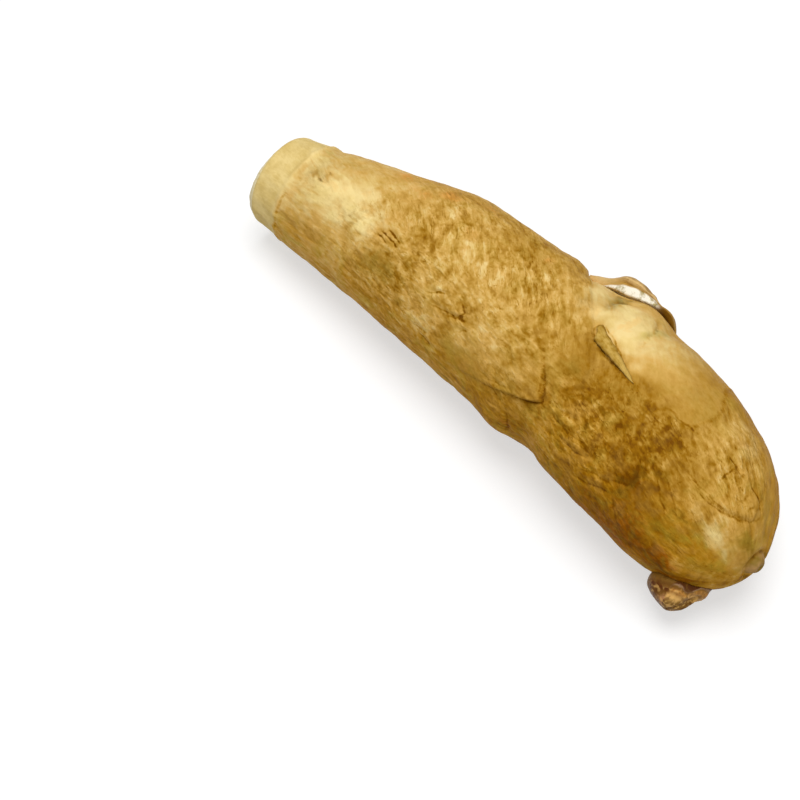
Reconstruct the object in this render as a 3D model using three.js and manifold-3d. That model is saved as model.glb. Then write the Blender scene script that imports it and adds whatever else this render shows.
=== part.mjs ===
// Arrowroot tuber: one swollen underground stem, lying on its side as it was dug and cut.
// Millimetres. +X runs from the cut stem end to the growing tip and +Z is up. The underside is
// pressed flat along a narrow strip at z = 0, and the origin is the middle of that strip.
import * as THREE from 'three';
import { mergeVertices } from 'three/addons/utils/BufferGeometryUtils.js';
import Module from 'manifold-3d';

const wasm = await Module();
wasm.setup();

// ---- Driving dimensions (mm, degrees) ----

// The stem is lofted through stations this far apart. "Along" is counted from the cut end.
const STATION = 16;
const SIDE = [-10, -7.1, -4, -1.6, -0.2, 0.2, 0.6, 0.8, -0.6, -4, -8]; // sideways place of the axis
const HALF_WIDTH = [12.8, 15.2, 17.8, 20.2, 21.2, 21.6, 22, 22.8, 22, 20, 17.4];
const LIFT = [3, 2, 1, 0.3, 0, 0, 0, 0, 0, 0.4, 1.2]; // underside above the resting surface
const LENGTH = STATION * (SIDE.length - 1);
const ORIGIN_ALONG = LENGTH / 2;
const HEIGHT_RATIO = 0.93; // a section is a little lower than it is wide
const FLATTENING = 0.8; // depth pressed flat where the underside rests

// The growing tip closes in a blunt dome, and the cut rim is slightly rounded.
const TIP_START = 135;
const TIP_BLUNTNESS = 2.25;
const CUT_RIM = 1.4;
const CUT_SLANT = { reach: 1, toward: -20, fade: 12 }; // the cut leans outwards at this turn

// Mesh fineness: facets round a section, sections along the stem, sections round the tip.
const FACETS = 44;
const SECTIONS = 62;
const TIP_SECTIONS = 13;

// Where the skin is peeled from the cut end, its edge stands up as a thin ring.
const PEEL = { along: 8.8, rise: 0.5, width: 0.9 };

// Scale leaves grow towards the tip and press flat on the stem. Each leaves a pointed edge:
// the place of its point, how fast the edge falls back above and below it (mm per square
// degree), how far it runs on each side (degrees), the height of its step and how it fades.
const SCALE_EDGES = [
  { along: 101.5, around: -54, above: 0.0107, below: 0.074, runAbove: 26, runBelow: 12, rise: 1, reach: 12 },
  { along: 154.3, around: 18, above: 0.012, below: 0.0055, runAbove: 26, runBelow: 34, rise: 0.4, reach: 8 },
];
const STEP_WIDTH = 2; // half the length over which a scale edge steps down

// Broad swellings and hollows of the stem: place, half length (mm), half spread (degrees), height.
const SWELLINGS = [
  { along: 90, around: -104, length: 5.5, spread: 26, rise: 1.1 }, // ledge low on the front
  { along: 100.5, around: -104, length: 4.8, spread: 26, rise: -1.5 },
  { along: 122, around: -108, length: 4, spread: 26, rise: 0.4 },
  { along: 103, around: 24, length: 6, spread: 30, rise: 0.5 }, // smooth young skin, first internode
  { along: 110, around: 32, length: 2.2, spread: 34, rise: -0.5 }, // the ring between the two
  { along: 122, around: 28, length: 9, spread: 30, rise: 0.5 }, // second internode
  { along: 134, around: 30, length: 2.4, spread: 32, rise: -0.5 },
  { along: 12, around: 40, length: 2.5, spread: 50, rise: -0.5 }, // just behind the peeled ring
  { along: 32, around: 62, length: 10, spread: 40, rise: -0.4 },
  { along: 51, around: 62, length: 4, spread: 30, rise: 0.4 },
  { along: 80, around: 58, length: 5, spread: 32, rise: 0.7 }, // before the root of the side scale
  { along: 157, around: 80, length: 3, spread: 45, rise: -0.8 },
  { along: 62, around: -150, length: 9, spread: 40, rise: 0.5 },
  { along: 44, around: 130, length: 8, spread: 45, rise: 0.5 },
  { along: 78, around: 120, length: 7, spread: 40, rise: -0.5 },
];

// Side bud near the tip, low on the front, and the round scar of the shoot at the very tip.
const BUD = { along: 148.8, side: -16, height: 10.6, radius: 6.8, thickness: 5.6, reach: 7.4 };
const BUD_TURN = { yaw: -76, dip: 14 }; // degrees away from +X, and below level
const SHOOT_SCAR = { side: -4, height: 17, radius: 3.2, reach: 1.3 };

// A dry scale leaf peels off the far side: it springs from the back and its free rim stands up.
const SIDE_SCALE = {
  start: 83.5, end: 109.5, root: 101, rim: 57, // along, along, degrees around, degrees around
  clearance: 0.45, thickness: 0.6,
  stand: [0, 1.6, 3.8, 3.9, 2.8, 2.3, 0], // height of the rim at equal steps of its length
};

// A narrow strip of a torn scale leaf stays on the top: it tapers and its edges curl up.
const TORN_SCALE = {
  start: 100.5, end: 118, startAround: 4, endAround: -10,
  width: 3.2, endWidth: 0.8, clearance: 0.45, thickness: 0.6, curl: 0.5,
};

// ---- The stem's own coordinates ----

// A smooth curve through equally spaced values, read at a share of its length from 0 to 1.
function smooth(values) {
  const points = values.map((value, i) => new THREE.Vector3(i, value, 0));
  const curve = new THREE.CatmullRomCurve3(points, false, 'catmullrom', 0.5);
  return (share) => curve.getPoint(THREE.MathUtils.clamp(share, 0, 1)).y;
}
const sideCurve = smooth(SIDE);
const widthCurve = smooth(HALF_WIDTH);
const liftCurve = smooth(LIFT);
const sideAt = (along) => sideCurve(along / LENGTH);
const halfWidthAt = (along) => widthCurve(along / LENGTH);
const liftAt = (along) => liftCurve(along / LENGTH);

const radians = THREE.MathUtils.degToRad;
const bell = (x) => Math.exp(-x * x);

// Signed difference between two directions round the stem, in degrees.
function turnBetween(a, b) {
  return ((a - b + 540) % 360) - 180;
}

// The share of the full section left at a place along the stem, as the tip closes.
function tipShare(along) {
  const k = THREE.MathUtils.clamp((along - TIP_START) / (LENGTH - TIP_START), 0, 1);
  return (1 - k ** TIP_BLUNTNESS) ** (1 / TIP_BLUNTNESS);
}

// How far one pressed scale leaf raises the skin: a step at its edge, fading back from it.
function scaleEdgeRise(edge, along, around) {
  const turn = turnBetween(around, edge.around);
  const bow = turn > 0 ? edge.above : edge.below;
  const behind = edge.along - bow * turn * turn - along;
  const run = turn > 0 ? edge.runAbove : edge.runBelow;
  const step = THREE.MathUtils.smoothstep(behind, -STEP_WIDTH, STEP_WIDTH);
  return edge.rise * step * Math.exp(-Math.max(behind, 0) / edge.reach) * bell(turn / run);
}

function swellingRise(form, along, around) {
  const turn = turnBetween(around, form.around);
  return form.rise * bell((along - form.along) / form.length) * bell(turn / form.spread);
}

// Height of the skin over the plain lofted stem.
function relief(along, around) {
  let rise = PEEL.rise * bell((along - PEEL.along) / PEEL.width);
  for (const edge of SCALE_EDGES) rise += scaleEdgeRise(edge, along, around);
  for (const form of SWELLINGS) rise += swellingRise(form, along, around);
  return rise;
}

// A point of the stem. share is 0 on the axis and 1 on the skin; around is 0 on top and grows
// towards +Y; out is the distance beyond the skin.
function stemPoint(along, around, share, out) {
  const side = sideAt(along);
  const slope = (sideAt(along + 0.2) - sideAt(along - 0.2)) / 0.4;
  const acrossLength = Math.hypot(1, slope);
  const halfWidth = halfWidthAt(along);
  const halfHeight = halfWidth * HEIGHT_RATIO;
  const middle = halfHeight + liftAt(along) - FLATTENING;
  const across = (halfWidth * share + out) * Math.sin(radians(around));
  const upward = (halfHeight * share + out) * Math.cos(radians(around));
  const lean = share * Math.cos(radians(around - CUT_SLANT.toward)) * bell(along / CUT_SLANT.fade);
  return new THREE.Vector3(
    along - ORIGIN_ALONG - CUT_SLANT.reach * lean - (across * slope) / acrossLength,
    side + across / acrossLength,
    Math.max(middle + upward, 0),
  );
}

// ---- Solids ----

function toSolid(geometry) {
  const bare = geometry.clone();
  bare.deleteAttribute('normal');
  bare.deleteAttribute('uv');
  const merged = mergeVertices(bare, 1e-4);
  return new wasm.Manifold(new wasm.Mesh({
    numProp: 3,
    vertProperties: new Float32Array(merged.attributes.position.array),
    triVerts: new Uint32Array(merged.index.array),
  }));
}

function toGeometry(solid) {
  const mesh = solid.getMesh();
  const geometry = new THREE.BufferGeometry();
  geometry.setAttribute('position', new THREE.BufferAttribute(mesh.vertProperties, 3));
  geometry.setIndex(new THREE.BufferAttribute(mesh.triVerts, 1));
  geometry.computeVertexNormals();
  return geometry;
}

// Moves every vertex of a geometry to the point that place gives for it.
function bend(geometry, place) {
  const position = geometry.attributes.position;
  const vertex = new THREE.Vector3();
  for (let i = 0; i < position.count; i += 1) {
    vertex.fromBufferAttribute(position, i);
    position.setXYZ(i, ...place(vertex).toArray());
  }
  return geometry;
}

// The half section of a straight stem of radius 1, from the cut face round to the tip.
function stemProfile() {
  const profile = [new THREE.Vector2(0, 0), new THREE.Vector2(0.5, 0), new THREE.Vector2(0.92, 0)];
  profile.push(new THREE.Vector2(0.975, CUT_RIM * 0.3));
  for (let i = 0; i < SECTIONS; i += 1) {
    profile.push(new THREE.Vector2(1, THREE.MathUtils.lerp(CUT_RIM, TIP_START, i / SECTIONS)));
  }
  for (let i = 0; i < TIP_SECTIONS; i += 1) {
    const closing = (Math.PI / 2) * (i / TIP_SECTIONS);
    const along = TIP_START + (LENGTH - TIP_START) * Math.sin(closing) ** (2 / TIP_BLUNTNESS);
    profile.push(new THREE.Vector2(tipShare(along), along));
  }
  profile.push(new THREE.Vector2(0, LENGTH));
  return profile;
}

function stem() {
  const lathe = new THREE.LatheGeometry(stemProfile(), FACETS);
  return toSolid(bend(lathe, (vertex) => {
    const share = Math.hypot(vertex.x, vertex.z);
    const around = THREE.MathUtils.radToDeg(Math.atan2(-vertex.x, vertex.z));
    const out = relief(vertex.y, around) * THREE.MathUtils.smoothstep(share, 0, 0.9);
    return stemPoint(vertex.y, around, share, out);
  }));
}

// A blunt bud: a dome on a short neck, rooted inside the stem.
function bud() {
  const { along, side, height, radius, thickness, reach } = BUD;
  const outline = new THREE.SplineCurve([
    new THREE.Vector2(radius * 0.94, -reach * 0.9),
    new THREE.Vector2(radius * 0.92, -reach * 0.2),
    new THREE.Vector2(radius, reach * 0.25),
    new THREE.Vector2(radius * 0.8, reach * 0.72),
    new THREE.Vector2(radius * 0.3, reach * 0.97),
  ]).getPoints(9);
  const profile = [new THREE.Vector2(0, -reach * 0.9), ...outline, new THREE.Vector2(0, reach)];
  const geometry = new THREE.LatheGeometry(profile, 20);
  geometry.rotateZ(-Math.PI / 2);
  geometry.scale(1, 1, thickness / radius);
  geometry.rotateY(radians(BUD_TURN.dip));
  geometry.rotateZ(radians(BUD_TURN.yaw));
  geometry.translate(along - ORIGIN_ALONG, side, height);
  return toSolid(geometry);
}

// The round scar of the old shoot: a low button on the very tip.
function shootScar() {
  const { side, height, radius, reach } = SHOOT_SCAR;
  const profile = [
    new THREE.Vector2(0, -3),
    new THREE.Vector2(radius * 1.1, -3),
    new THREE.Vector2(radius, reach * 0.5),
    new THREE.Vector2(radius * 0.8, reach),
    new THREE.Vector2(0, reach * 0.8),
  ];
  const geometry = new THREE.LatheGeometry(profile, 18);
  geometry.rotateZ(-Math.PI / 2);
  geometry.translate(LENGTH - ORIGIN_ALONG - 0.6, side, height);
  return toSolid(geometry);
}

// A thin leaf lying over the stem. place gives, for a share of its length and of its width,
// the spot on the stem as [along, around, out], and the leaf's thickness is added outwards.
function leaf(place, thickness, lengthSteps, widthSteps) {
  const block = new THREE.BoxGeometry(1, 1, 1, lengthSteps, widthSteps, 1);
  return toSolid(bend(block, (vertex) => {
    const [along, around, out] = place(vertex.x + 0.5, vertex.y + 0.5);
    return stemPoint(along, around, 1, relief(along, around) + out + (vertex.z + 0.5) * thickness);
  }));
}

function sideScale() {
  const { start, end, root, rim, clearance, thickness, stand } = SIDE_SCALE;
  const standAt = smooth(stand);
  return leaf((length, width) => {
    const taper = Math.sin(Math.PI * Math.min(0.12 + length * 0.88, 1)) ** 0.5;
    const along = THREE.MathUtils.lerp(start, end, length);
    const spread = (root - rim) * (0.35 + 0.65 * taper);
    const fromRoot = 1 - width;
    const out = clearance + standAt(length) * Math.sin((Math.PI / 2) * fromRoot);
    return [along, root - spread * fromRoot, out];
  }, thickness, 18, 8);
}

function tornScale() {
  const { start, end, startAround, endAround, width, endWidth, clearance, thickness, curl } = TORN_SCALE;
  return leaf((length, across) => {
    const along = THREE.MathUtils.lerp(start, end, length);
    const halfTurn = THREE.MathUtils.radToDeg(
      THREE.MathUtils.lerp(width, endWidth, length) / 2 / halfWidthAt(along),
    );
    const offset = 2 * across - 1;
    const around = THREE.MathUtils.lerp(startAround, endAround, length ** 0.8) + offset * halfTurn;
    return [along, around, clearance + curl * offset * offset];
  }, thickness, 14, 4);
}

// ---- Assembly ----

function piece(name, solid, colour, roughness) {
  const material = new THREE.MeshStandardMaterial({ color: colour, roughness, metalness: 0 });
  const mesh = new THREE.Mesh(toGeometry(solid), material);
  mesh.name = name;
  return mesh;
}

const tuber = new THREE.Group();
tuber.add(piece('tuber', stem().add(bud()).add(shootScar()), 0xc09550, 0.6));
tuber.add(piece('side_scale', sideScale(), 0xc9a26c, 0.5));
tuber.add(piece('torn_scale', tornScale(), 0xb48a48, 0.6));

export default tuber;
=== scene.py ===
# Arrowroot tuber: its looks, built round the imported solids, in metres.
# +X runs from the cut stem end to the growing tip and +Z is up. Places on the stem are given as
# "along", in mm from the cut end, and "around", in degrees, 0 on top and growing towards +Y.
import itertools
import math

import bpy
import numpy as np
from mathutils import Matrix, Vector


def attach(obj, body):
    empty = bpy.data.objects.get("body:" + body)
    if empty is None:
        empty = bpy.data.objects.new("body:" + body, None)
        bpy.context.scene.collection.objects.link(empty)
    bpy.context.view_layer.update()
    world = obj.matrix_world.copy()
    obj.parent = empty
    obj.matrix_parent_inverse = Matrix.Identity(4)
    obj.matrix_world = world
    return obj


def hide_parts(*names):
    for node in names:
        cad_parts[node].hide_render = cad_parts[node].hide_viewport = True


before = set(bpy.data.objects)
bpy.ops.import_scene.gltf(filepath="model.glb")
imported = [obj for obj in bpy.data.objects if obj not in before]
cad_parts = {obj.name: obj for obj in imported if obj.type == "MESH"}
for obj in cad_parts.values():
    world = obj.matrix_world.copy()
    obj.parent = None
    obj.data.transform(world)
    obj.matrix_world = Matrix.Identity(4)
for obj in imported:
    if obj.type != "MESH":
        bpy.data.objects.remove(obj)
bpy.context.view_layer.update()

MM = 0.001
FAR = 1e3  # mm, further than anything on the tuber

# ---- Shapes, in mm and degrees: the stem has the same driving values as the solids ----

STATION = 16
SIDE = [-10, -7.1, -4, -1.6, -0.2, 0.2, 0.6, 0.8, -0.6, -4, -8]
HALF_WIDTH = [12.8, 15.2, 17.8, 20.2, 21.2, 21.6, 22, 22.8, 22, 20, 17.4]
LIFT = [3, 2, 1, 0.3, 0, 0, 0, 0, 0, 0.4, 1.2]
LENGTH = STATION * (len(SIDE) - 1)
ORIGIN_ALONG = LENGTH / 2
HEIGHT_RATIO = 0.93
FLATTENING = 0.8
TIP_START = 135
TIP_BLUNTNESS = 2.25
CUT_RIM = 1.4
CUT_SLANT = {"reach": 1, "toward": -20, "fade": 12}
CUT_FACE_SHARE = 0.92  # the cut face is flat up to here, and its rim is rounded beyond
CUT_FACE_END = 0.2  # the rows of the flat face are before this place
PEEL = {"along": 8.8, "rise": 0.35, "width": 0.65}

# Pressed scale leaves: the point of each edge, how far the edge falls back (mm) over its run
# (degrees) above and below the point, its step (mm) and how far behind the edge the step fades.
SCALE_EDGES = [
    {"along": 101.5, "around": -54, "above": (26, 7.2), "below": (20, 18), "rise": 1.0, "reach": 12},
    {"along": 154.3, "around": 18, "above": (26, 8.0), "below": (34, 6.4), "rise": 0.4, "reach": 8},
    {"along": 66, "around": 125, "above": (45, 12.0), "below": (38, 11.5), "rise": 0.5, "reach": 9},
    {"along": 44, "around": -160, "above": (42, 10.5), "below": (40, 9.5), "rise": 0.5, "reach": 9},
    {"along": 121, "around": 172, "above": (46, 10.5), "below": (44, 13.5), "rise": 0.6, "reach": 10},
    {"along": 143, "around": 120, "above": (36, 7.8), "below": (36, 7.8), "rise": 0.4, "reach": 8},
]
EDGE_POINTING = 1.3  # 2 gives a round point and 1 a straight-sided one
EDGE_SHARPNESS = 0.4

# Broad swellings and hollows: along, around, length (mm), spread (degrees), rise (mm).
SWELLINGS = [
    (90, -104, 5.5, 26, 1.1), (100.5, -104, 4.8, 26, -1.5), (122, -108, 4, 26, 0.4),
    (103, 24, 6, 30, 0.5), (110, 32, 2.2, 34, -0.5), (122, 28, 9, 30, 0.5),
    (134, 30, 2.4, 32, -0.5), (12, 40, 2.5, 50, -0.5), (32, 62, 10, 40, -0.4),
    (51, 62, 4, 30, 0.4), (78.5, 58, 4.5, 32, 0.7), (85, 64, 2.6, 22, -1.0), (156, 80, 4, 45, -1.1),
    (154, -78, 3.5, 22, 1.1), (156.5, 46, 3.5, 20, -1.0),
    (147.5, -90, 1.8, 7, 0.5), (151, -86, 1.3, 5, 0.5), (153.6, -93, 1.3, 5, 0.5),
    (62, -150, 9, 40, 0.5), (44, 130, 8, 45, 0.5), (78, 120, 7, 40, -0.5),
]

# The bud and the dry scale leaves follow the solids, and are fitted to the photo more closely.
BUD = {"along": 151.1, "side": -15.6, "height": 10.6, "radius": 6.5, "thickness": 5.5,
       "reach": 8.6, "yaw": -91, "dip": 13, "neck_sunk": 0.7, "near_cut": 2.6, "far_swell": 0.7}
# The bud's scales: the place of each edge as a share of its reach, its tilt, the side that it
# leans to in degrees, and its step in mm.
BUD_SCALES = [(0.47, 0.36, 180, 0.5), (0.68, 0.3, 190, 0.3), (0.9, 0.2, 120, 0.3)]
SHOOT_SCAR = {"side": -4.7, "height": 18, "radius": 2.7, "reach": 1.2, "dimple": 0.35, "groove": 0.55}
TIP_POLE_REACH = 0.25  # the middle of the tip stands this far beyond the last row
# The young skin swells under the side scale's lip: along, around, length, spread and rise.
CUSHION = (101, 64, 6.5, 17, 2.2)
# At equal steps along the side scale: how far it stands off in mm, how much it gapes, and how far
# round its section the white inside reaches. Then how deep its parts sink into the skin in mm,
# and how far its start leans outwards in degrees.
SIDE_SCALE = {"start": 81.5, "end": 108, "root": 101, "clearance": 0.35, "thickness": 0.35,
              "stand": [0.6, 3.3, 4.6, 4.7, 4.3, 2.9, 1.3, 2.3, 0.2],
              "gape": [0, 0, 0.6, 1, 1, 1, 0.3, 0, 0],
              "white": [0.02, 0.05, 0.12, 0.2, 0.26, 0.3, 0.34, 0.34, 0.34],
              "foot_sunk": 0.7, "back_sunk": 0.85, "start_sunk": 1.8, "start_lean": 12}
# The side scale's section where it gapes and where it is shut: from its foot on the upper side,
# up its inside, over the rolled rim and down its outside to the root, and back underneath.
# Each corner is degrees round the stem, and a share of how far the scale stands off.
SIDE_SCALE_OPEN = [(70, 0), (66, 0), (64.5, 0.08), (64.6, 0.25), (65.2, 0.45), (65.6, 0.58),
                   (65.2, 0.66), (64.6, 0.76), (64.8, 0.9), (66, 1), (68.5, 1.06), (72, 1.02),
                   (77, 0.88), (83, 0.66), (89, 0.4), (95, 0.16), (100, 0.04), (94, 0), (86, 0),
                   (78, 0), (70, 0)]
SIDE_SCALE_SHUT = [(70, 0), (66, 0), (63.5, 0.05), (62, 0.14), (60.8, 0.26), (60, 0.38), (59.6, 0.5),
                   (59.8, 0.64), (60.8, 0.78), (62.5, 0.9), (65.5, 0.99), (69.5, 1.02), (75, 0.95),
                   (82, 0.76), (88.5, 0.48), (95, 0.2), (100, 0.04), (94, 0), (86, 0), (78, 0), (70, 0)]
TORN_SCALE = {"start": 100.6, "end": 117, "start_around": 2.5, "end_around": -9, "width": 4.4,
              "end_width": 0.5, "clearance": 0, "thickness": 0.24, "curl": 0.1, "end_curl": 0.35}

# ---- Fineness of the meshes ----

ROW_STEPS = [(84, 0.55), (135, 0.4)]  # mm between rows, up to each place along the stem
TURNS = 240
FINE_SIDE = -25  # the turns are closest here, and widest opposite
TURN_CROWDING = 24
TIP_ROWS = 62
RIM_ROWS = 4
CUT_ROWS = 16
BUD_NECK_ROWS = 26
BUD_END_ROWS = 44
BUD_TURNS = 96
SIDE_SCALE_ROWS = 150
SIDE_SCALE_TURNS = 110
TORN_SCALE_ROWS = 110
TORN_SCALE_STEPS = 18

# ---- Grain: the stem taken as a plain cylinder ----

GRAIN_RADIUS = 21
MM_PER_DEGREE = 0.37
SLANTING_TWIST = 2.1  # degrees that the grain turns round the stem in each mm along it
STRAIGHT_TWIST = 0.35

# ---- Colours, as seen in plain light ----

COLOURS = {
    "darkest": "764804", "umber": "9a6b10", "brown": "b88c38", "tan": "d2a858", "pale": "e4c47e",
    "cream": "f0d593", "flesh": "d8bb72", "flesh_light": "ead08c", "flesh_core": "efe0b4",
    "warm_darkest": "704200", "warm_umber": "8e5a00", "warm_brown": "aa7508", "warm_tan": "c48e26",
    "warm_pale": "d8ae5a", "warm_cream": "eaca88",
    "olive": "947410", "rust": "a45a00", "orange": "c8862c", "green": "a9a030",
    "olive_tan": "b49630", "orange_tan": "cc9844",
    "straw": "d0bc80", "scar": "6e5c14", "scar_middle": "ac8656",
    # On the bud, the dark purple is painted shade in its crease and folds, and the pinkish grey is a
    # painted highlight.
    "bud_neck": "855c20", "bud_olive": "8e6626", "bud_red": "5e2e08", "bud_orange": "d09244",
    "bud_cream": "ecb868", "bud_pink": "c88e5e", "plum_shade": "5c3210", "plum_highlight": "a88460",
    "scale_in": "f7f2e0", "scale_spot": "ae9e68", "scale_rim": "c4a26c", "scale_out": "b0904e",
    "scale_vein": "906e30", "scale_base": "dcb878", "scale_tip": "7a5208", "strip": "b08a34",
    "strip_light": "ceaa58", "strip_edge": "74500c",
}


def linear(hex_colour):
    """A colour written as it looks on screen, as the linear values that shaders use."""
    parts = [int(hex_colour[i:i + 2], 16) / 255 for i in (0, 2, 4)]
    return [p / 12.92 if p <= 0.04045 else ((p + 0.055) / 1.055) ** 2.4 for p in parts] + [1.0]


def colour(name):
    return linear(COLOURS[name])


# ---- Small tools: curves and repeatable noise ----

def bell(x):
    return np.exp(-np.square(x))


def smoothstep(x, low, high):
    t = np.clip((x - low) / (high - low), 0, 1)
    return t * t * (3 - 2 * t)


def between(a, b, share):
    return a + (b - a) * share


def turn_between(a, b):
    """Signed difference of two directions round the stem, in degrees."""
    return (a - b + 540) % 360 - 180


def smooth(values, share):
    """A smooth curve through equally spaced values, read at a share of its length."""
    v = np.asarray(values, float)
    v = np.concatenate([[2 * v[0] - v[1]], v, [2 * v[-1] - v[-2]]])
    steps = len(values) - 1
    place = np.clip(np.asarray(share, float), 0, 1) * steps
    i = np.minimum(place.astype(int), steps - 1)
    u = place - i
    a, b, c, d = v[i], v[i + 1], v[i + 2], v[i + 3]
    bend = 2 * a - 5 * b + 4 * c - d
    twist = 3 * (b - c) + d - a
    return b + 0.5 * u * (c - a + u * (bend + u * twist))


def random_slopes(cell, seed):
    """Repeatable random vectors, from -1 to 1 on each axis, for whole-number places."""
    x, y, z = ((cell[..., axis] & 0xFFFFFFFF).astype(np.uint32) for axis in range(3))
    mixed = x * np.uint32(374761393) + y * np.uint32(668265263) + z * np.uint32(2246822519)
    slopes = []
    for axis in range(3):
        value = mixed + np.uint32((seed * 3 + axis) * 40503 + 977)
        value = (value ^ (value >> np.uint32(15))) * np.uint32(2246822519)
        value = (value ^ (value >> np.uint32(13))) * np.uint32(3266489917)
        value = value ^ (value >> np.uint32(16))
        slopes.append(value / 2147483648.0 - 1)
    return np.stack(slopes, -1)


def noise(points, seed):
    """Smooth noise from about -1 to 1, with bumps about one unit across."""
    cell = np.floor(points).astype(np.int64)
    part = points - cell
    fade = part ** 3 * (part * (part * 6 - 15) + 10)
    total = np.zeros(points.shape[:-1])
    for corner in itertools.product((0, 1), repeat=3):
        rise = ((part - corner) * random_slopes(cell + corner, seed)).sum(-1)
        total += rise * np.where(corner, fade, 1 - fade).prod(-1)
    return total * 1.7


def layered_noise(points, seed, layers):
    """Noise with finer and fainter layers on top."""
    total = 0
    for i in range(layers):
        total = total + noise(points * 2 ** i + 7.3 * i, seed + i) * 0.5 ** i
    return total


# ---- Places on the stem ----

def stem_points(along, around, share, out):
    """Points of the stem in mm: share is 0 on the axis and 1 on the skin, out is beyond it."""
    side = smooth(SIDE, along / LENGTH)
    slope = (smooth(SIDE, (along + 0.2) / LENGTH) - smooth(SIDE, (along - 0.2) / LENGTH)) / 0.4
    half_width = smooth(HALF_WIDTH, along / LENGTH)
    half_height = half_width * HEIGHT_RATIO
    middle = half_height + smooth(LIFT, along / LENGTH) - FLATTENING
    turn = np.radians(around)
    across = (half_width * share + out) * np.sin(turn)
    upward = (half_height * share + out) * np.cos(turn)
    lean = share * np.cos(turn - math.radians(CUT_SLANT["toward"])) * bell(along / CUT_SLANT["fade"])
    bent = np.hypot(1, slope)
    x = along - ORIGIN_ALONG - CUT_SLANT["reach"] * lean - across * slope / bent
    return np.stack([x, side + across / bent, middle + upward], -1)


def grain(along, around, twist, length, width):
    """Noise places whose grain runs along the stem, turning round it by twist degrees a mm."""
    turn = np.radians(around + twist * along)
    across = GRAIN_RADIUS / width
    return np.stack([along / length, across * np.cos(turn), across * np.sin(turn)], -1)


def near_line(along, around, line):
    """The distance in mm from a drawn line, minus on one side, and the share of it reached."""
    middle = np.mean([turn for _, turn in line])
    across = turn_between(around, middle) * MM_PER_DEGREE
    corners = [(place, turn_between(turn, middle) * MM_PER_DEGREE) for place, turn in line]
    lengths = [math.dist(p, q) for p, q in zip(corners, corners[1:])]
    best = np.full(along.shape, FAR)
    reached = np.zeros(along.shape)
    done = 0
    for p, q, length in zip(corners, corners[1:], lengths):
        ahead, aside = (q[0] - p[0]) / length, (q[1] - p[1]) / length
        u, v = along - p[0], across - p[1]
        t = np.clip(u * ahead + v * aside, 0, length)
        distance = np.hypot(u - t * ahead, v - t * aside)
        side = np.where(v * ahead < u * aside, -1.0, 1.0)
        closer = distance < np.abs(best)
        best = np.where(closer, distance * side, best)
        reached = np.where(closer, (done + t) / sum(lengths), reached)
        done += length
    return best, reached


# ---- Where the skin differs ----

# How light the skin is at equal steps along the stem: 0 is the darkest brown and 1 is cream.
TONE_ALONG = [0.66, 0.61, 0.56, 0.50, 0.50, 0.48, 0.44, 0.40, 0.34, 0.43, 0.52]

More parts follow.
